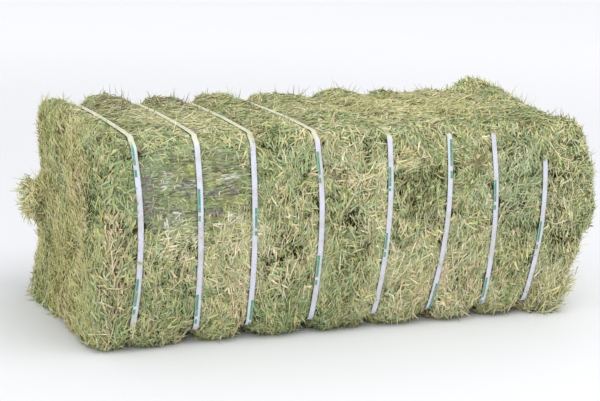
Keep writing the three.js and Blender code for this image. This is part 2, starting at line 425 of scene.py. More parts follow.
# patches with a hue of their own, by side: middle and reach (x and z on the front, x and y on the top,
# y and z on an end), their tone, and how many of the stems take it
hayPatches = {
    front: [
        ((-0.438, 0.378), (0.034, 0.032), 0.93, 0.38), ((-0.437, 0.29), (0.054, 0.02), 0.93, 0.38),
        ((-0.292, 0.372), (0.042, 0.01), 0.94, 0.5), ((-0.3, 0.283), (0.025, 0.02), 0.92, 0.3),
        ((-0.392, 0.352), (0.034, 0.022), 0.01, 0.5), ((-0.3, 0.345), (0.06, 0.014), 0.01, 0.5),
        ((-0.474, 0.335), (0.026, 0.07), 0.02, 0.45), ((-0.388, 0.388), (0.034, 0.016), 0.54, 0.6),
        ((-0.3, 0.398), (0.06, 0.014), 0.07, 0.4), ((-0.41, 0.235), (0.06, 0.05), 0.84, 0.35),
        ((-0.43, 0.33), (0.05, 0.016), 0.44, 0.5), ((-0.345, 0.318), (0.06, 0.014), 0.36, 0.5),
        ((-0.34, 0.3), (0.04, 0.014), 0.02, 0.5), ((-0.3, 0.322), (0.035, 0.01), 0.54, 0.55),
        ((-0.44, 0.312), (0.05, 0.01), 0.01, 0.5), ((-0.335, 0.362), (0.024, 0.01), 0.54, 0.6),
        ((-0.255, 0.355), (0.03, 0.03), 0.25, 0.5), ((-0.405, 0.41), (0.05, 0.012), 0.1, 0.35),
        ((-0.375, 0.345), (0.125, 0.075), 0.01, 0.24), ((-0.56, 0.2), (0.03, 0.14), 0.74, 0.5),
        ((-0.545, 0.38), (0.04, 0.06), 0.3, 0.45), ((-0.045, 0.372), (0.03, 0.016), 0.06, 0.6),
        ((0.31, 0.375), (0.07, 0.02), 0.08, 0.35), ((-0.27, 0.09), (0.03, 0.09), 0.75, 0.4),
        ((0.15, 0.4), (0.05, 0.03), 0.76, 0.35), ((-0.13, 0.4), (0.08, 0.03), 0.35, 0.5),
        ((0.2, 0.1), (0.11, 0.06), 0.74, 0.35), ((0.4, 0.32), (0.1, 0.12), 0.4, 0.45),
        ((-0.16, 0.06), (0.1, 0.05), 0.28, 0.35),
    ],
    top: [
        ((-0.43, 0.11), (0.06, 0.13), 0.06, 0.4), ((-0.3, 0.13), (0.06, 0.12), 0.05, 0.45),
        ((-0.16, 0.1), (0.08, 0.1), 0.12, 0.15), ((0.25, 0), (0.25, 0.2), 0.62, 0.5),
    ],
    leftEnd: [
        ((0.165, 0.33), (0.022, 0.15), 0.64, 0.5), ((0.07, 0.25), (0.018, 0.23), 0.66, 0.45),
        ((-0.07, 0.24), (0.024, 0.2), 0.64, 0.45), ((0.18, 0.26), (0.014, 0.11), 0.11, 0.35),
        ((-0.215, 0.33), (0.045, 0.1), 0.3, 0.5), ((0.01, 0.4), (0.014, 0.06), 0.1, 0.35),
        ((-0.02, 0.12), (0.14, 0.08), 0.6, 0.5), ((0.12, 0.42), (0.08, 0.05), 0.55, 0.45),
    ],
}
# wads of hay that have parted, leaving gaps between the stems; their dark is painted shade
hayGaps = {
    leftEnd: [
        ((-0.205, 0.33), (0.05, 0.09)), ((0.115, 0.39), (0.016, 0.03)), ((-0.02, 0.385), (0.014, 0.035)),
        ((-0.195, 0.17), (0.045, 0.06)),
    ],
    front: [
        ((-0.395, 0.19), (0.03, 0.06)), ((-0.02, 0.265), (0.022, 0.034)), ((0.16, 0.3), (0.08, 0.09)),
        ((0.42, 0.28), (0.07, 0.1)), ((-0.562, 0.2), (0.04, 0.13)), ((0.56, 0.25), (0.04, 0.1)),
        ((-0.18, 0.19), (0.06, 0.08)),
    ],
}
# where loose hay hides a stretch of a strap's front: the strap, from and to which height, and how far
overgrownStraps = [(7, 0.385, 0.46, 0.6), (0, 0.0, 0.052, 1.0), (4, 0.066, 0.092, 0.5)]
buriedStraps = [0.09, 0.1, 0.12, 0.2, 0.55, 0.8, 1.0, 1.0]      # how far hay closes over each top run
pressedPatch = {"centre": (-0.375, 0.355), "reach": (0.15, 0.095)}     # x and z, on the front
# waves a metre of the noise that places them
fieldNoise = {"pits": 66.0, "pitGroups": 19.0, "gaps": 74.0, "patchEdges": 40.0, "fullness": 12.0}


def smoothStep(values, low, high):
    share = np.clip((values - low) / (high - low), 0, 1)
    return share * share * (3 - 2 * share)


def noiseAt(points, scale, shift=0.0):
    return np.array([noise.noise(Vector(place) * scale + Vector((shift, 0, 0))) for place in points])


def ridges(points, normals, look):      # streaky noise that follows each face's lie
    total = np.zeros(len(points))
    for axis, stretch in enumerate(look["ridges"]):
        wave = np.array([noise.noise(Vector(place)) for place in points * stretch])
        total += normals[:, axis] ** 2 * wave
    return total + 0.6 * noiseAt(points, look["swells"])


def onSide(normals, side):
    return smoothStep(normals @ np.array(side, float), 0.4, 0.8)


def onPatch(points, normals, side, centre, reach):
    axes = [axis for axis in range(3) if side[axis] == 0]
    away = np.hypot(*[(points[:, axis] - c) / r for axis, c, r in zip(axes, centre, reach)])
    return (1 - smoothStep(away, 0.6, 1.25)) * onSide(normals, side)


def onSeam(normals, index):         # 1 on the faces that meet the next flake, where no loose hay shows
    ahead = 0.0 if index == 0 else smoothStep(-normals[:, 1], 0.74, 0.92)
    behind = 0.0 if index == len(flakeNames) - 1 else smoothStep(normals[:, 1], 0.74, 0.92)
    return np.maximum(ahead, behind)


matFieldNames = (
    "strapRoom", "buried", "strapGap", "pressed", "pitted", "fullness", "patchTone", "patchForce",
)


def matFields(points, normals, index):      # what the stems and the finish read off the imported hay
    gap, nearest = strapDistances(points)
    buried = np.array(buriedStraps)[nearest] * smoothStep(normals[:, 2], 0.45, 0.8)
    for strap, low, high, amount in overgrownStraps:
        hidden = (nearest == strap) & (points[:, 2] > low) & (points[:, 2] < high) & (points[:, 1] < 0)
        buried = np.maximum(buried, np.where(hidden, amount, 0.0))
    pressed = onPatch(points, normals, front, pressedPatch["centre"], pressedPatch["reach"])
    # pitted marks the gaps between wads: sunk in the mat, and painted dark there as painted shade
    pits = noiseAt(points, fieldNoise["pits"], 4.0) + 0.4 * noiseAt(points, fieldNoise["pitGroups"])
    pitted = smoothStep(pits, 0.2, 0.42) * (1 - 0.85 * pressed) * (1 - 0.75 * onSide(normals, top))
    speckle = smoothStep(noiseAt(points, fieldNoise["gaps"], 9.0), 0.04, 0.24)
    for side, gaps in hayGaps.items():
        for centre, reach in gaps:
            pitted = np.maximum(pitted, speckle * onPatch(points, normals, side, centre, reach))
    tone, force = np.zeros(len(points)), np.zeros(len(points))
    ragged = 1 + 0.8 * noiseAt(points, fieldNoise["patchEdges"], 2.0)
    for side, patches in hayPatches.items():
        for centre, reach, hue, share in patches:
            amount = onPatch(points, normals, side, centre, reach) * share * ragged
            tone = np.where(amount > force, hue, tone)
            force = np.maximum(force, amount)
    fullness = (0.9 + 0.7 * noiseAt(points, fieldNoise["fullness"])) * (1 - 0.96 * pitted)
    fullness *= 1 - onSeam(normals, index)
    values = (gap + buried * 0.03, buried, gap, pressed, pitted, fullness, tone, force)
    return dict(zip(matFieldNames, values))


def makeMat(name, index, look):
    source = frame["nodes"][name].data.copy()
    work = bmesh.new()
    work.from_mesh(source)
    bmesh.ops.remove_doubles(work, verts=work.verts, dist=1e-5)
    work.to_mesh(source)
    work.free()
    carrier = placed(f"hay_{name}", source)
    grain = carrier.modifiers.new("grain", "REMESH")
    grain.mode = "VOXEL"
    grain.voxel_size = look["grain"]
    settle = carrier.modifiers.new("settle", "SMOOTH")
    settle.iterations = look["smoothings"]
    mesh = finished(carrier)
    points, normals = vertexValues(mesh, "co"), vertexValues(mesh, "normal")
    fields = matFields(points, normals, index)
    gap = fields["strapGap"]
    calm = smoothStep(gap, -0.004, look["calmNear"]) * (1 - 0.75 * fields["pressed"])
    rough = ridges(points, normals, look) * look["relief"] - fields["pitted"] * look["pitDepth"]
    height = calm * rough - look["sunk"]
    beside = smoothStep(gap, 0.0, 0.006) * (1 - smoothStep(gap, 0.012, 0.03))
    height += look["bulge"] * beside * (1 - 0.85 * onSide(normals, top))
    height += fields["buried"] ** 2 * look["overStrap"] * (1 - smoothStep(gap, 0.0, 0.03))
    points += normals * height[:, None]
    points[:, 2] = np.maximum(points[:, 2], look["aboveFloor"])
    mesh.vertices.foreach_set("co", points.ravel())
    for key, values in fields.items():
        mesh.attributes.new(key, "FLOAT", "POINT").data.foreach_set("value", values.astype(np.float32))
    mesh.update()
    mesh.materials.clear()
    mesh.materials.append(matFinish)
    mesh.shade_smooth()
    return addPiece(f"hay_{name}", mesh, [name])


mats = [makeMat(name, index, matLook) for index, name in enumerate(flakeNames)]
print("packed hay made:", sum(len(mat.data.polygons) for mat in mats), "faces")


# straps
strapLook = {
    "thickness": 0.0009,
    "lift": 0.0006,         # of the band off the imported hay
    "steps": 220,           # around the bale
    "between": 12,          # finer steps from knot to knot, before they are evened out
    "waver": 0.0009,        # sideways, as it was laid
    "wavering": 9,          # and how often, in waves a metre
    "weld": 0.075,          # length of the doubled stretch
    "barPitch": 0.23,       # from pair to pair, away from the front
    "mirrored": (2, 5),     # straps whose bars sit on the other half of the band
}
# where the pairs of green bars sit, metres down the front from each strap's top edge
strapBars = [
    (0.045, 0.355), (0.157, 0.390), (0.000, 0.200, 0.410), (0.088, 0.320),
    (0.129, 0.265), (0.045, 0.400), (0.170, 0.405), (0.020, 0.247),
]


def strapCentreLine(name):      # the band's corners come four to a place around the section
    points = nodePoints(name)
    middle = points.mean(axis=0)
    turns = np.arctan2(points[:, 1] - middle[1], points[:, 2] - middle[2])
    return points[np.argsort(turns)].reshape(-1, 4, 3).mean(axis=1)


def roundLoop(knots, look):     # a closed smooth line through the knots, evenly stepped
    count = len(knots)
    fine = []
    for i in range(count):
        a, b, c, d = (knots[(i + k) % count] for k in (-1, 0, 1, 2))
        for t in np.linspace(0, 1, look["between"], endpoint=False):
            start = 2 * b + (c - a) * t
            fine.append(0.5 * (start + (2 * a - 5 * b + 4 * c - d) * t**2 + (3 * b - a - 3 * c + d) * t**3))
    fine = np.array(fine + [fine[0]])
    run = np.r_[0, np.cumsum(np.linalg.norm(np.diff(fine, axis=0), axis=1))]
    wanted = np.linspace(0, run[-1], look["steps"], endpoint=False)
    return np.stack([np.interp(wanted, run, fine[:, axis]) for axis in range(3)], axis=1), run[-1]


def bandSection(width, thickness):      # sideways and outward, a flat band with rounded edges
    half, skin = width / 2, thickness / 2
    corner = half - skin * 0.7
    upper = [(-half, 0), (-corner, skin), (-half * 0.5, skin), (half * 0.5, skin), (corner, skin), (half, 0)]
    return upper + [(x, -y) for x, y in reversed(upper[1:-1])]


def addBand(work, layer, line, phases, section, mirror, closed, raised=0.0):
    middle = line.mean(axis=0)
    count = len(line)
    rings = []
    for i, point in enumerate(line):
        ahead = line[(i + 1) % count] if closed or i + 1 < count else point
        behind = line[i - 1] if closed or i > 0 else point
        side = Vector((1, 0, 0))
        out = Vector(ahead - behind).normalized().cross(side).normalized()
        if out.dot(Vector(point - middle)) < 0:
            out.negate()
        rings.append([work.verts.new(Vector(point) + side * x + out * (y + raised)) for x, y in section])
    for i in range(count if closed else count - 1):
        for j in range(len(section)):
            k = (j + 1) % len(section)
            nextRing = rings[(i + 1) % count]
            face = work.faces.new((rings[i][j], rings[i][k], nextRing[k], nextRing[j]))
            marks = (phases[i], phases[i], phases[i + 1], phases[i + 1])
            for loop, u, corner in zip(face.loops, marks, (j, k, k, j)):
                loop[layer].uv = (u, mirror * section[corner][0] / strapWidth + 0.5)
            face.smooth = True
    if not closed:
        for ring in (rings[0], rings[-1]):
            work.faces.new(ring)


def barPhases(line, total, bars, pitch):    # goes up by one from pair to pair, at each step of the line
    run = np.arange(len(line) + 1) * total / len(line)
    top = np.argmax(line[:, 2] - line[:, 1])        # the front top edge; the line climbs the front to it
    spare = np.arange(1, 13)        # more than enough pairs to go round, above and below those of the front
    places = np.r_[bars[0] - pitch * spare[::-1], bars, bars[-1] + pitch * spare]
    return np.interp(run[top] - run, places, np.arange(len(places)) + 0.5)


def makeStrap(name, index, look):
    line, total = roundLoop(strapCentreLine(name), look)
    outward = line - line.mean(axis=0)
    outward[:, 0] = 0
    outward /= np.linalg.norm(outward, axis=1)[:, None]
    often = look["wavering"]
    sway = [noise.noise(Vector((point[1] * often, point[2] * often, index * 5.0))) for point in line]
    line[:, 0] += np.array(sway) * look["waver"]
    line += outward * look["lift"]
    phases = barPhases(line, total, strapBars[index], look["barPitch"])
    section = bandSection(strapWidth, look["thickness"])
    work = bmesh.new()
    layer = work.loops.layers.uv.new("strapRun")
    mirror = -1 if index in look["mirrored"] else 1
    addBand(work, layer, line, phases, section, mirror, True)
    steps = round(look["weld"] / (total / len(line)))
    start = np.argmax(line[:, 1]) - steps // 2      # the weld is on the back
    doubled = line[start:start + steps]
    addBand(work, layer, doubled, phases[start:], section, mirror, False, look["thickness"] * 1.02)
    bmesh.ops.recalc_face_normals(work, faces=work.faces)
    mesh = meshOf(work, f"band_{index + 1}")
    mesh.materials.append(strapFinish)
    return addPiece(mesh.name, mesh, [name])


bands = [makeStrap(name, i, strapLook) for i, name in enumerate(strapNames)]
print("straps made")


# Each stem is a closed three-sided blade, one unit long. Its rings give height, sideways and outward
# shift and fullness; the tips give sideways and outward shift. Shifts are in widths.
stemShapes = {
    "stemStraight": {"tips": [(0.2, -0.2), (0.1, 0.2)],
                     "rings": [(-0.36, 0.1, 0.0, 1.0), (0.34, -0.1, 0.1, 0.9)]},
    "stemBow": {"tips": [(-0.3, -0.3), (-0.4, 0.1)],
                "rings": [(-0.2, 0.4, 0.2, 1.0), (0.2, 0.5, 0.3, 0.9)]},
    "stemArc": {"tips": [(0.6, -0.6), (0.7, 0.0)],
                "rings": [(-0.22, -1.0, 0.3, 1.0), (0.16, -1.2, 0.5, 0.9)]},
    "stemKink": {"tips": [(-0.7, 0.1), (-0.5, 0.6)],
                 "rings": [(-0.1, 0.3, 0.0, 1.0), (0.08, 0.5, 0.4, 1.0)]},
    "stemWave": {"tips": [(-0.2, 0.4), (0.3, 0.3)],
                 "rings": [(-0.18, 0.4, 0.2, 0.9), (0.2, -0.4, -0.1, 1.0)]},
}
# a leaf is a closed ribbon of four faces: its tips, and its sides as height, sideways and outward shift
leafShapes = {
    "leafFlat": {"tips": [(-0.1, 0.0), (0.1, 0.1)], "sides": [(0.28, -0.5, 0.2), (-0.3, 0.5, 0.15)]},
    "leafBent": {"tips": [(-0.2, -0.2), (-0.3, -0.1)], "sides": [(-0.2, -0.3, 0.35), (0.25, 0.7, 0.2)]},
    "leafHook": {"tips": [(0.3, 0.3), (0.1, -0.2)], "sides": [(0.3, -0.7, 0.2), (-0.1, 0.3, 0.4)]},
    "leafTwist": {"tips": [(0.2, 0.3), (-0.3, 0.3)], "sides": [(-0.3, -0.6, 0.0), (0.3, 0.5, -0.1)]},
    "leafLong": {"tips": [(0.1, 0.1), (-0.1, 0.0)], "sides": [(-0.34, -0.4, 0.2), (0.3, 0.4, 0.1)]},
}
bladeCorners = ((0.26, 0.0), (-0.12, 0.5), (-0.12, -0.5))       # of a stem's rings, outward and sideways


def stemMesh(shape):
    low, high = shape["tips"]
    verts = [(low[1], low[0], -0.5)]
    for height, side, out, full in shape["rings"]:
        verts += [(out + x * full, side + y * full, height) for x, y in bladeCorners]
    verts.append((high[1], high[0], 0.5))
    last = len(verts) - 1
    faces = [(0, 1 + (i + 1) % 3, 1 + i) for i in range(3)]
    for ring in range(len(shape["rings"]) - 1):
        a, b = 1 + ring * 3, 4 + ring * 3
        for i in range(3):
            j = (i + 1) % 3
            faces += [(a + i, a + j, b + j), (a + i, b + j, b + i)]
    faces += [(last - 3 + i, last - 3 + (i + 1) % 3, last) for i in range(3)]
    return verts, faces


def leafMesh(shape):
    low, high = shape["tips"]
    verts = [(low[1], low[0], -0.5), (high[1], high[0], 0.5)]
    verts += [(out, side, height) for height, side, out in shape["sides"]]
    return verts, [(0, 2, 1), (0, 1, 3), (0, 3, 2), (1, 2, 3)]


def makeBlade(name, shape):
    verts, faces = stemMesh(shape) if "rings" in shape else leafMesh(shape)
    mesh = bpy.data.meshes.new(name)
    mesh.from_pydata(verts, [], faces)
    work = bmesh.new()
    work.from_mesh(mesh)
    bmesh.ops.recalc_face_normals(work, faces=work.faces)
    work.to_mesh(mesh)
    work.free()
    swatch = mesh.attributes.new("swatch", "FLOAT2", "CORNER")      # each corner's place on its palette patch
    for polygon in mesh.polygons:
        for turn, corner in enumerate(polygon.loop_indices):
            height = verts[mesh.loops[corner].vertex_index][2]
            swatch.data[corner].vector = (turn / 2, height + 0.5)
    return bpy.data.objects.new(name, mesh)


def shapeCollection(name, shapes):
    group = bpy.data.collections.new(name)
    scene.collection.children.link(group)
    for shapeName, shape in shapes.items():
        group.objects.link(makeBlade(shapeName, shape))
    return group


shapeGroups = {"stems": shapeCollection("stems", stemShapes), "leaves": shapeCollection("leaves", leafShapes)}

# the tree that strews stems: its inputs by kind, and those that have a low and a high end
rangedInputs = ("Lift", "Rise", "Length", "Width", "Tone", "Shade")
strewInputs = {
    "Geometry": ["Packed Hay"],
    "Collection": ["Shapes"],
    "Material": ["Material"],
    "Int": ["Shape Count", "Seed"],
    "Vector": ["Facing", "Centre", "Reach", "Lie", "Room Low", "Room High"],
    "Float": ["Per Square Metre", "Facing Least", "On Pressed", "In Gaps", "Stray", "Swirl", "Tone Drift"]
    + [f"{name} {end}" for name in rangedInputs for end in ("Low", "High")],
}
strewLook = {
    "swatch": (0.02, 0.06),     # size of one stem on the palette map
    "strapRoom": 0.03,          # stems lift and rise in full this far from a strap
    "crossing": 2.1,            # length that a stem may have for each metre of room beside a strap
    "leastLength": 0.007,
    "pitLength": 0.5,           # of a stem in a gap
    "paintedPitShade": 0.30,           # and how much darker it is painted: painted shade
    "paintedRiseShade": 45.0,          # painted shade: how much lighter a stem is painted for each metre that it stands out, so low stems look shaded
    "overStrap": 0.003,         # rise of the stems that close over a strap
    "swirls": 11.0,             # a metre
    "drifts": 5.0,
    "palest": 0.85,             # tone of a stem outside the patches
    "patchSpread": 0.03,        # of tone within a patch
    "held": (0.01, 0.92),       # tones and shades stay between these
    "draws": 17,                # from one random number's seed to the next
}


def strewTree(look):
    tree = bpy.data.node_groups.new("strewHay", "GeometryNodeTree")
    for kind, names in strewInputs.items():
        for name in names:
            tree.interface.new_socket(name, in_out="INPUT", socket_type=f"NodeSocket{kind}")
    tree.interface.new_socket("Hay", in_out="OUTPUT", socket_type="NodeSocketGeometry")
    given = addNode(tree, "NodeGroupInput").outputs
    draws = iter(range(1, 100))

    def chance(low, high):      # a random number for each stem
        node = addNode(tree, "FunctionNodeRandomValue", {2: low, 3: high}, data_type="FLOAT")
        plug(tree, node.inputs["Seed"], plus(tree, given["Seed"], float(next(draws) * look["draws"])))
        return node.outputs[1]

    def chanceOf(name):
        return chance(given[f"{name} Low"], given[f"{name} High"])

    def field(name, kind="FLOAT"):
        node = addNode(tree, "GeometryNodeInputNamedAttribute", {"Name": name}, data_type=kind)
        return node.outputs["Attribute"]

    def stored(geometry, name, value, kind, domain):
        inputs = {"Geometry": geometry, "Name": name, "Value": value}
        node = addNode(tree, "GeometryNodeStoreNamedAttribute", inputs, data_type=kind, domain=domain)
        return node.outputs[0]

    def wavering(scale, detail, amount):
        return times(tree, minus(tree, noiseNode(tree, place, scale, detail), 0.5), amount)

    place = addNode(tree, "GeometryNodeInputPosition").outputs[0]
    faceNormal = addNode(tree, "GeometryNodeInputNormal").outputs[0]
    room, pressed, pitted = field("strapRoom"), field("pressed"), field("pitted")

    # how thickly each face is strewn
    turned = vectorNode(tree, "DOT_PRODUCT", faceNormal, given["Facing"])
    seen = eased(tree, turned, given["Facing Least"], plus(tree, given["Facing Least"], 0.15))
    offset = vectorNode(tree, "DIVIDE", vectorNode(tree, "SUBTRACT", place, given["Centre"]), given["Reach"])
    near = eased(tree, vectorNode(tree, "LENGTH", offset), 0.55, 1.0, (1, 0))
    allowed = mixed(tree, pressed, 1.0, given["On Pressed"])
    clear = eased(tree, room, -0.001, 0.003)
    where = mixed(tree, given["In Gaps"], field("fullness"), pitted)
    amount = given["Per Square Metre"]
    for factor in (seen, near, allowed, clear, where):
        amount = times(tree, amount, factor)
    strewn = addNode(tree, "GeometryNodeDistributePointsOnFaces",
                     {"Mesh": given["Packed Hay"], "Density": amount, "Seed": given["Seed"]})
    normal = strewn.outputs["Normal"]

    # which way each stem lies
    swirl = wavering(look["swirls"], 1.0, given["Swirl"])
    angle = plus(tree, chance(times(tree, given["Stray"], -1.0), given["Stray"]), swirl)
    through = vectorNode(tree, "DOT_PRODUCT", given["Lie"], normal)
    flatLie = vectorNode(tree, "SUBTRACT", given["Lie"], scaled(tree, normal, through))
    level = vectorNode(tree, "NORMALIZE", flatLie)
    beside = vectorNode(tree, "CROSS_PRODUCT", normal, level)
    flat = vectorNode(tree, "ADD", scaled(tree, level, mathNode(tree, "COSINE", angle)),
                      scaled(tree, beside, mathNode(tree, "SINE", angle)))
    freed = eased(tree, room, 0.0, look["strapRoom"])
    lift = times(tree, chanceOf("Lift"), freed)
    ahead = vectorNode(tree, "ADD", scaled(tree, flat, mathNode(tree, "COSINE", lift)),
                       scaled(tree, normal, mathNode(tree, "SINE", lift)))
    pose = addNode(tree, "FunctionNodeAxesToRotation", {0: ahead, 1: normal},
                   primary_axis="Z", secondary_axis="X").outputs[0]

    # its size: a stem beside a strap is short enough not to cross it
    acrossStrap = mathNode(tree, "MAXIMUM", mathNode(tree, "ABSOLUTE", axesOf(tree, ahead)["X"]), 0.08)
    reachFree = mathNode(tree, "DIVIDE", times(tree, room, look["crossing"]), acrossStrap)
    whole = times(tree, chanceOf("Length"), eased(tree, pitted, 0.0, 0.6, (1.0, look["pitLength"])))
    length = mathNode(tree, "MINIMUM", whole, plus(tree, reachFree, look["leastLength"]))
    width = chanceOf("Width")
    size = addNode(tree, "ShaderNodeCombineXYZ", {"X": width, "Y": width, "Z": length}).outputs[0]

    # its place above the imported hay, and its patch of the palette
    rise = chanceOf("Rise")
    loose = times(tree, freed, minus(tree, 1.0, pressed))
    risen = plus(tree, times(tree, rise, loose), times(tree, field("buried"), look["overStrap"]))
    points = addNode(tree, "GeometryNodeSetPosition",
                     {"Geometry": strewn.outputs["Points"], "Offset": scaled(tree, normal, risen)}).outputs[0]
    drift = wavering(look["drifts"], 3.0, given["Tone Drift"])
    usual = mathNode(tree, "MINIMUM", plus(tree, chanceOf("Tone"), drift), look["palest"])
    taken = mathNode(tree, "LESS_THAN", chance(0.0, 1.0), field("patchForce"))
    local = plus(tree, field("patchTone"), chance(-look["patchSpread"], look["patchSpread"]))
    tone = mixed(tree, taken, usual, local)
    # painted shade: stems that lie low are painted darker and those that stand out lighter
    shade = plus(tree, chanceOf("Shade"), times(tree, rise, look["paintedRiseShade"]))
    # painted shade: stems in the gaps are painted darker
    shade = minus(tree, shade, times(tree, pitted, look["paintedPitShade"]))
    least, most = look["held"]
    for name, value in (("tone", tone), ("shade", shade)):
        held = addNode(tree, "ShaderNodeClamp", {"Value": value, "Min": least, "Max": most}).outputs[0]
        points = stored(points, name, held, "FLOAT", "POINT")

    shapes = addNode(tree, "GeometryNodeCollectionInfo",
                     {"Collection": given["Shapes"], "Separate Children": True, "Reset Children": True})
    which = addNode(tree, "FunctionNodeRandomValue", {4: 0, 5: minus(tree, given["Shape Count"], 1.0)},
                    data_type="INT")
    plug(tree, which.inputs["Seed"], given["Seed"])
    laid = addNode(tree, "GeometryNodeInstanceOnPoints",
                   {"Points": points, "Instance": shapes.outputs[0], "Pick Instance": True,
                    "Instance Index": which.outputs[2], "Rotation": pose, "Scale": size})
    real = addNode(tree, "GeometryNodeRealizeInstances", {"Geometry": laid.outputs["Instances"]}).outputs[0]

    # no stem goes below the floor or stands too proud
    raised = vectorNode(tree, "MAXIMUM", place, given["Room Low"])
    kept = vectorNode(tree, "MINIMUM", raised, given["Room High"])
    floored = addNode(tree, "GeometryNodeSetPosition", {"Geometry": real, "Position": kept}).outputs[0]

    # the palette map
    own = axesOf(tree, field("swatch", "FLOAT_VECTOR"))
    wide, high = look["swatch"]
    spot = {"X": mathNode(tree, "MULTIPLY_ADD", own["X"], wide, field("tone")),
            "Y": mathNode(tree, "MULTIPLY_ADD", own["Y"], high, field("shade"))}
    corner = addNode(tree, "ShaderNodeCombineXYZ", spot).outputs[0]
    bare = stored(floored, "OFBake", corner, "FLOAT2", "CORNER")
    for name in ("swatch", "tone", "shade", *matFieldNames):
        bare = addNode(tree, "GeometryNodeRemoveAttribute", {"Geometry": bare, "Name": name}).outputs[0]
    done = addNode(tree, "GeometryNodeSetMaterial", {"Geometry": bare, "Material": given["Material"]})
    addNode(tree, "NodeGroupOutput", {"Hay": done.outputs["Geometry"]})
    return tree


strewHay = strewTree(strewLook)
socketIds = {item.name: item.identifier for item in strewHay.interface.items_tree if item.in_out == "INPUT"}

looseRoom = (0.046, 0.024, 0.021)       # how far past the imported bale's box loose hay may stand
floorLift = 0.001
everywhere = {
    "Facing Least": 0.55, "Centre": (0, 0, 0.25), "Reach": (3, 3, 3), "On Pressed": 1.0, "In Gaps": 0.0,
    "Stray": 3.2, "Swirl": 0.0, "Lift": (-0.12, 0.3), "Rise": (0.0, 0.008), "Length": (0.02, 0.065),
    "Width": (0.0012, 0.0024), "Tone": (0.16, 0.86), "Tone Drift": 0.9, "Shade": (0.30, 0.64),
    "Room Low": tuple(low - room for low, room in zip(cadLow[:2], looseRoom)) + (floorLift,),
    "Room High": tuple(high + room for high, room in zip(cadHigh, looseRoom)),
}
gapShadeBlades = {       # short blades painted near black in the gaps: painted shade
    "In Gaps": 1.0, "Lift": (-0.1, 0.1), "Rise": (0.004, 0.008), "Tone": (0.16, 0.3), "Tone Drift": 0.0,
    "Shade": (-0.4, -0.1),
}
alongBale, upright, acrossBale = (1, 0, 0), (0, 0, 1), (0, 1, 0)

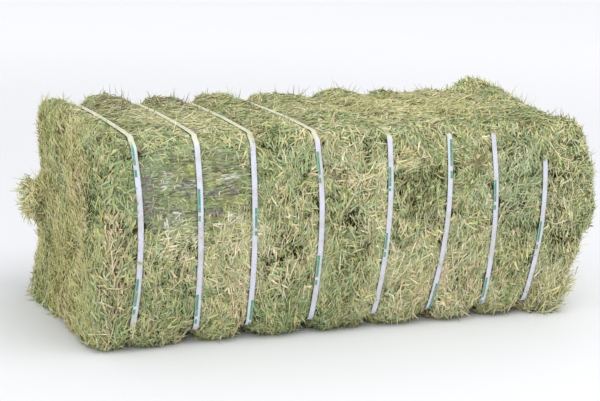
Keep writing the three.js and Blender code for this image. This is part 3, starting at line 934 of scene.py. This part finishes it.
# every layer of loose hay: its blades, how many to a square metre, the side it grows on, the way it
# lies, and how it differs from the values above
hayLayers = {
    "front_stems_upright": ("stems", 15000, front, upright, {
        "Centre": (0, -0.28, 0.08), "Reach": (3, 3, 0.34), "On Pressed": 0.05, "Stray": 0.4, "Swirl": 1.3,
        "Length": (0.03, 0.085), "Width": (0.0012, 0.003), "Tone": (0.32, 0.9), "Shade": (0.3, 0.61)}),
    "front_stems_tangled": ("stems", 8500, front, alongBale, {
        "On Pressed": 0.05, "Stray": 1.6, "Swirl": 6.0, "Width": (0.0012, 0.003), "Shade": (0.3, 0.58)}),
    "front_leaves": ("leaves", 60000, front, upright, {
        "On Pressed": 0.06, "Stray": 1.0, "Swirl": 6.0, "Lift": (-0.12, 0.4), "Length": (0.012, 0.042),
        "Width": (0.0022, 0.0056), "Tone": (0.16, 0.76), "Shade": (0.3, 0.58)}),
    "front_pressed": ("leaves", 70000, front, alongBale, {
        "Centre": (-0.375, -0.29, 0.355), "Reach": (0.21, 0.3, 0.14), "Stray": 0.25, "Swirl": 0.9,
        "Lift": (-0.14, 0.0), "Length": (0.012, 0.045), "Width": (0.002, 0.0056), "Tone": (0.34, 0.5),
        "Shade": (0.14, 0.38)}),
    "front_gaps": ("leaves", 42000, front, upright, gapShadeBlades | {
        "Stray": 0.9, "Length": (0.005, 0.013), "Width": (0.0022, 0.005)}),
    "left_end_gaps": ("leaves", 42000, leftEnd, upright, gapShadeBlades | {
        "Stray": 0.4, "Length": (0.006, 0.018), "Width": (0.0024, 0.005), "Tone": (0.1, 0.3)}),
    "right_end_gaps": ("leaves", 34000, rightEnd, upright, gapShadeBlades | {
        "Stray": 0.6, "Length": (0.006, 0.016), "Width": (0.0024, 0.005)}),
    "back_gaps": ("leaves", 30000, back, upright, gapShadeBlades | {
        "Stray": 0.9, "Length": (0.005, 0.013), "Width": (0.0022, 0.005)}),
    "top_gaps": ("leaves", 26000, top, alongBale, gapShadeBlades | {
        "Stray": 0.4, "Lift": (-0.1, 0.05), "Rise": (0.002, 0.004), "Length": (0.008, 0.022),
        "Width": (0.002, 0.004), "Shade": (-0.2, 0.0)}),
    "top_stems": ("stems", 10500, top, alongBale, {
        "Stray": 0.7, "Swirl": 1.5, "Lift": (-0.12, 0.14), "Rise": (0.0, 0.005), "Length": (0.02, 0.07)}),
    "top_leaves": ("leaves", 50000, top, alongBale, {
        "Stray": 1.0, "Swirl": 1.5, "Lift": (-0.12, 0.2), "Rise": (0.0, 0.005), "Length": (0.012, 0.036),
        "Width": (0.0018, 0.0042), "Tone": (0.16, 0.78), "Shade": (0.36, 0.64)}),
    "left_end_stems": ("stems", 17500, leftEnd, upright, {
        "Stray": 0.35, "Swirl": 2.6, "Lift": (-0.12, 0.35), "Length": (0.02, 0.08),
        "Width": (0.0012, 0.003), "Tone": (0.5, 0.74), "Tone Drift": 0.5, "Shade": (0.37, 0.64)}),
    "left_end_leaves": ("leaves", 60000, leftEnd, upright, {
        "Stray": 0.9, "Swirl": 4.0, "Lift": (-0.12, 0.6), "Length": (0.012, 0.04),
        "Width": (0.002, 0.0052), "Tone": (0.45, 0.68), "Tone Drift": 0.6, "Shade": (0.35, 0.64)}),
    "right_end_stems": ("stems", 12500, rightEnd, upright, {
        "Stray": 0.6, "Swirl": 0.9, "Lift": (-0.12, 0.5), "Length": (0.02, 0.08)}),
    "right_end_leaves": ("leaves", 42000, rightEnd, upright, {
        "Stray": 1.2, "Lift": (-0.12, 0.8), "Length": (0.012, 0.038), "Width": (0.002, 0.005)}),
    "back_stems": ("stems", 8500, back, upright, {"Stray": 1.4, "Swirl": 1.5, "Width": (0.0012, 0.003)}),
    "back_leaves": ("leaves", 36000, back, alongBale, {
        "Lift": (-0.12, 0.4), "Length": (0.012, 0.042), "Width": (0.0022, 0.0056), "Tone": (0.16, 0.76)}),
    "foot_leaves": ("leaves", 8000, foot, alongBale, {
        "Lift": (-0.12, 0.1), "Rise": (0.0, 0.001), "Width": (0.0022, 0.0056)}),
    "wad_tuft": ("leaves", 210000, leftEnd, acrossBale, {
        "Facing Least": 0.0, "Centre": (-0.62, 0.205, 0.238), "Reach": (0.1, 0.072, 0.04),
        "Lift": (-0.5, 0.9), "Rise": (0.0, 0.038), "Length": (0.014, 0.046), "Width": (0.0018, 0.0044),
        "Tone": (0.32, 0.82), "Shade": (0.18, 0.48)}),
    "wad_strands": ("stems", 20000, leftEnd, acrossBale, {
        "Facing Least": 0.0, "Centre": (-0.63, 0.205, 0.246), "Reach": (0.12, 0.07, 0.046), "Stray": 3.2,
        "Lift": (-0.3, 1.2), "Rise": (0.01, 0.04), "Length": (0.03, 0.08), "Width": (0.0012, 0.0024),
        "Tone": (0.4, 0.86)}),
    "foot_tuft": ("leaves", 95000, leftEnd, acrossBale, {
        "Facing Least": -0.3, "Centre": (-0.59, 0.16, -0.01), "Reach": (0.12, 0.22, 0.034),
        "Lift": (-0.3, 0.9), "Rise": (0.0, 0.026), "Length": (0.02, 0.06), "Width": (0.0012, 0.004),
        "Tone": (0.28, 0.62)}),
    "top_tuft": ("leaves", 120000, top, alongBale, {
        "Facing Least": 0.0, "Centre": (0.56, 0.2, 0.48), "Reach": (0.11, 0.1, 0.08), "Lift": (-0.3, 1.0),
        "Rise": (0.0, 0.014), "Length": (0.012, 0.044), "Width": (0.0012, 0.0036)}),
    "right_shoulder": ("stems", 7000, rightEnd, acrossBale, {
        "Facing Least": 0.0, "Centre": (0.6, -0.05, 0.37), "Reach": (0.12, 0.26, 0.1), "Lift": (0.1, 1.2),
        "Rise": (0.0, 0.014), "Length": (0.04, 0.1), "Width": (0.0012, 0.0024), "Tone": (0.36, 0.7)}),
    "loose_left": ("stems", 1700, leftEnd, upright, {
        "Facing Least": 0.1, "Stray": 1.6, "Lift": (0.4, 1.2), "Length": (0.03, 0.065),
        "Width": (0.0012, 0.002), "Tone": (0.3, 0.86)}),
    "loose_right": ("stems", 3000, rightEnd, upright, {
        "Facing Least": 0.1, "Stray": 1.8, "Lift": (0.4, 1.3), "Length": (0.03, 0.09),
        "Width": (0.0012, 0.0022), "Tone": (0.3, 0.86)}),
    "loose_top": ("leaves", 2600, top, alongBale, {
        "Facing Least": 0.2, "Lift": (0.1, 0.6), "Length": (0.012, 0.03), "Width": (0.0012, 0.0026)}),
    "loose_front": ("leaves", 6000, front, upright, {
        "Facing Least": 0.2, "On Pressed": 0.1, "Lift": (0.3, 0.9), "Length": (0.014, 0.03),
        "Width": (0.0012, 0.003), "Tone": (0.4, 0.86)}),
    "foot_fringe": ("leaves", 11000, front, alongBale, {
        "Facing Least": -0.4, "Centre": (0, -0.24, 0.0), "Reach": (3, 0.14, 0.07), "Stray": 0.9,
        "Lift": (0.0, 0.3), "Rise": (0.0, 0.003), "Length": (0.015, 0.036), "Width": (0.0012, 0.0044),
        "Tone": (0.2, 0.8)}),
    "right_foot_fringe": ("leaves", 60000, rightEnd, upright, {
        "Facing Least": -0.5, "Centre": (0.59, -0.12, 0.02), "Reach": (0.14, 0.3, 0.1), "Stray": 0.9,
        "Lift": (-0.1, 0.9), "Rise": (0.0, 0.036), "Length": (0.02, 0.07), "Width": (0.0012, 0.004),
        "Tone": (0.25, 0.8)}),
}


def joinedMesh(sources):
    if len(sources) == 1:
        return sources[0].data
    work = bmesh.new()
    for source in sources:
        work.from_mesh(source.data)
    return meshOf(work, "joined")


def strew(name, layer, seed):
    shapes, thickness, facing, lie, changes = layer
    sources = {front: mats[:1], back: mats[-1:]}.get(facing, mats)
    carrier = placed(name, joinedMesh(sources))
    modifier = carrier.modifiers.new("strew", "NODES")
    modifier.node_group = strewHay
    group = shapeGroups[shapes]
    values = everywhere | changes | {
        "Shapes": group, "Shape Count": len(group.objects), "Per Square Metre": float(thickness),
        "Seed": seed, "Facing": facing, "Lie": lie, "Material": stemFinish,
    }
    for key in rangedInputs:
        values[f"{key} Low"], values[f"{key} High"] = values.pop(key)
    for key, value in values.items():
        modifier[socketIds[key]] = value
    return addPiece(name, finished(carrier))


looseHay = [strew(name, layer, seed) for seed, (name, layer) in enumerate(hayLayers.items(), start=3)]
for piece in looseHay:
    print(piece.name, len(piece.data.polygons), "triangles")
print("loose hay in all:", sum(len(piece.data.polygons) for piece in looseHay))

# strands laid one by one over the straps of the front
strandLook = {
    "corners": 5,
    "steps": 14,
    "off": 0.0016,          # of the middle from the surface below
    "flatness": 0.5,
    "even": 0.35,           # share of the width that doesn't taper
    "taper": 4,             # how soon the rest fills out from a tip
    "strands": [            # places as x and z, width, and tone and shade on the palette map
        ([(-0.372, 0.247), (-0.335, 0.244), (-0.298, 0.239), (-0.282, 0.243)], 0.0034, 0.75, 0.72),
        ([(-0.520, 0.214), (-0.500, 0.198), (-0.478, 0.204)], 0.0026, 0.62, 0.60),
        ([(-0.530, 0.190), (-0.508, 0.202), (-0.486, 0.192)], 0.0030, 0.54, 0.55),
        ([(-0.205, 0.262), (-0.165, 0.276), (-0.105, 0.292)], 0.0036, 0.73, 0.66),
        ([(-0.215, 0.250), (-0.160, 0.270), (-0.120, 0.276)], 0.0030, 0.76, 0.60),
        ([(-0.235, 0.172), (-0.180, 0.166), (-0.095, 0.168)], 0.0036, 0.74, 0.60),
        ([(-0.225, 0.163), (-0.170, 0.158), (-0.110, 0.163)], 0.0030, 0.66, 0.55),
        ([(0.372, 0.300), (0.405, 0.282), (0.432, 0.262)], 0.0030, 0.80, 0.66),
        ([(-0.420, 0.330), (-0.400, 0.280), (-0.412, 0.225)], 0.0028, 0.45, 0.55),
        ([(0.078, 0.076), (0.096, 0.094), (0.116, 0.100)], 0.0030, 0.73, 0.58),
        ([(0.076, 0.104), (0.098, 0.090), (0.118, 0.086)], 0.0028, 0.62, 0.56),
    ],
}
inward = Vector((0, 1, 0))      # away from whoever faces the front


def strandLine(places, look, bodies):       # a smooth line through the places, on the nearest surface
    places = np.array(places)
    knots = np.linspace(0, 1, len(places))
    spots = np.linspace(0, 1, look["steps"])
    order = min(3, len(places) - 1)
    line = []
    for x, z in zip(*(np.polyval(np.polyfit(knots, places[:, axis], order), spots) for axis in (0, 1))):
        hits = [body.ray_cast(Vector((x, -1, z)), inward)[0] for body in bodies]
        line.append(Vector((x, min(hit.y for hit in hits if hit) - look["off"], z)))
    return line


def addStrand(work, line, width, look):     # a flattened tube that tapers to its tips
    last = len(line) - 1
    rings = []
    for i, point in enumerate(line):
        ahead = (line[min(i + 1, last)] - line[max(i - 1, 0)]).normalized()
        side = ahead.cross(inward).normalized()
        fromTip = min(i, last - i) / len(line)
        full = math.sin(math.pi * min(0.5 + look["taper"] * fromTip, 1) / 2)
        slim = width / 2 * (look["even"] + (1 - look["even"]) * full)
        out = ahead.cross(side) * look["flatness"]
        turns = [math.tau * k / look["corners"] for k in range(look["corners"])]
        rings.append([work.verts.new(point + side * slim * math.cos(a) + out * slim * math.sin(a))
                      for a in turns])
    faces = [work.faces.new(rings[0]), work.faces.new(rings[-1])]
    for here, beyond in zip(rings, rings[1:]):
        for k in range(look["corners"]):
            j = (k + 1) % look["corners"]
            faces.append(work.faces.new((here[k], here[j], beyond[j], beyond[k])))
    return faces


def makeStrands(name, look):
    meshes = [piece.data for piece in mats[:1] + bands]
    bodies = [BVHTree.FromPolygons([v.co for v in mesh.vertices], [p.vertices for p in mesh.polygons])
              for mesh in meshes]
    work = bmesh.new()
    layer = work.loops.layers.uv.new("OFBake")
    for places, width, tone, shade in look["strands"]:
        line = strandLine(places, look, bodies)
        span = max(abs(line[-1].x - line[0].x), 0.01)
        for face in addStrand(work, line, width, look):
            for loop in face.loops:
                along = (loop.vert.co.x - line[0].x) / span     # the shade comes and goes a little on the way
                loop[layer].uv = (tone + 0.01 * along, shade + 0.04 * math.sin(9 * along))
    bmesh.ops.recalc_face_normals(work, faces=work.faces)
    mesh = meshOf(work, name)
    mesh.materials.append(stemFinish)
    return addPiece(name, mesh)


makeStrands("crossing_strands", strandLook)
print("strands laid over the straps")
for group in shapeGroups.values():      # the single shapes aren't part of the bale
    for blade in list(group.objects):
        bpy.data.objects.remove(blade)
    bpy.data.collections.remove(group)


# floor and light
studioLook = {
    "floorSize": 60.0,
    # painted shade: the floor is painted darker near the bale, fading to near white far off
    "floorShadedNear": (221, 222, 224),
    "floorFar": (252, 252, 253),
    "fade": (1.0, 7.0),         # metres from the bale, from near to far
    "sky": (0.97, 0.98, 1.0, 1),
    "skyPower": 0.98,
    "lamps": {
        "keyLight": {"place": (0.9, -1.6, 4.3), "aim": (0.2, 0, 0.2), "size": 3.0, "power": 96},
        "frontLight": {"place": (-2.8, -4.2, 2.2), "aim": (0, 0, 0.2), "size": 3.0, "power": 60},
    },
}


def makeFloor(look):
    half = look["floorSize"] / 2
    corners = [(x * half, y * half, 0) for x, y in ((-1, -1), (1, -1), (1, 1), (-1, 1))]
    mesh = bpy.data.meshes.new("floor")
    mesh.from_pydata(corners, [], [(0, 1, 2, 3)])
    material, tree, shader = newMaterial("studioFloor", {"Roughness": 0.7})
    # painted shade: darker near the bale, lighter with distance
    share = eased(tree, vectorNode(tree, "LENGTH", objectPlace(tree)), *look["fade"])
    shown = mixedColour(tree, share, srgb(*look["floorShadedNear"]), srgb(*look["floorFar"]))
    plug(tree, shader.inputs["Base Color"], shown)
    mesh.materials.append(material)
    placed("floor", mesh)


def makeLights(look):
    for name, lamp in look["lamps"].items():
        light = bpy.data.lights.new(name, "AREA")
        light.size = lamp["size"]
        light.energy = lamp["power"]
        holder = placed(name, light)
        holder.location = lamp["place"]
        aim = Vector(lamp["aim"]) - Vector(lamp["place"])
        holder.rotation_euler = aim.to_track_quat("-Z", "Y").to_euler()
    world = bpy.data.worlds.new("studio")
    world.use_nodes = True
    sky = world.node_tree.nodes["Background"].inputs
    sky["Color"].default_value = look["sky"]
    sky["Strength"].default_value = look["skyPower"]
    scene.world = world
    scene.view_settings.view_transform = "Standard"


makeFloor(studioLook)
makeLights(studioLook)
